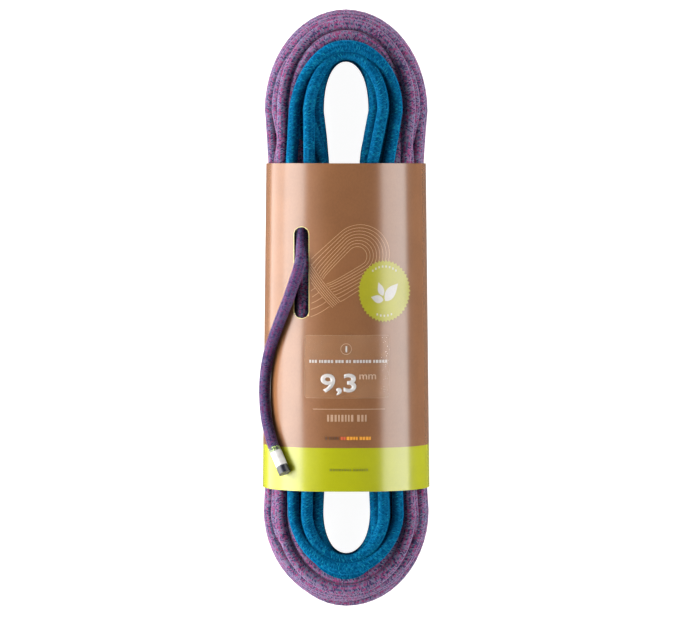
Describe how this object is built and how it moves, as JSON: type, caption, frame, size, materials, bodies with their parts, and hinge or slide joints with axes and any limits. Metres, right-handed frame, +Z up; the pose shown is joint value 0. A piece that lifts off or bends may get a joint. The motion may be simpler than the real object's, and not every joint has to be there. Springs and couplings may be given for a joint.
{
  "type": "dynamic climbing rope",
  "caption": "Two-colour climbing rope wound into a long hank, held by a sliding card sleeve whose slot lets the rope's end out.",
  "frame": {"origin": "under the middle of the hank, on the flat underside of the card sleeve", "axes": "+Z up through the printed front, +Y along the hank towards its upper loops, +X to the right of the printed front"},
  "size_m": [0.1421, 0.4988, 0.1273],
  "materials": {
    "purple_sheath": "two-tone woven polyamide sheath, matt",
    "blue_sheath": "fine woven polyamide sheath, matt",
    "marker_print": "printed film, satin",
    "white_film": "film label, satin",
    "shrink_cap": "heat-shrunk tube, semi-gloss",
    "fused_core": "melted polyamide, satin",
    "kraft_card": "coated kraft card, satin, lime printed band",
    "glue": "hot-melt glue",
    "label_film": "clear film with white print",
    "lime_sticker": "coated paper sticker"
  },
  "bodies": {
    "rope": {"outer_turns": "purple_sheath", "inner_turns": "blue_sheath", "outer_tail": "purple_sheath", "outer_marker_band": "marker_print", "outer_end_label": "white_film", "outer_end_cap": "shrink_cap", "outer_core_end": "fused_core", "inner_tail": "blue_sheath", "inner_marker_band": "marker_print", "inner_end_label": "white_film", "inner_end_cap": "shrink_cap", "inner_core_end": "fused_core"},
    "wrap": {"sleeve": "kraft_card", "glue_strip": "glue", "glue_flap": "kraft_card", "size_label": "label_film", "seal_sticker": "lime_sticker"}
  },
  "joints": [
    {"name": "sleeve_slide", "type": "slide", "parent": "rope", "child": "wrap", "axis": [0, 1, 0], "range_m": [-0.008, 0.008]}
  ]
}
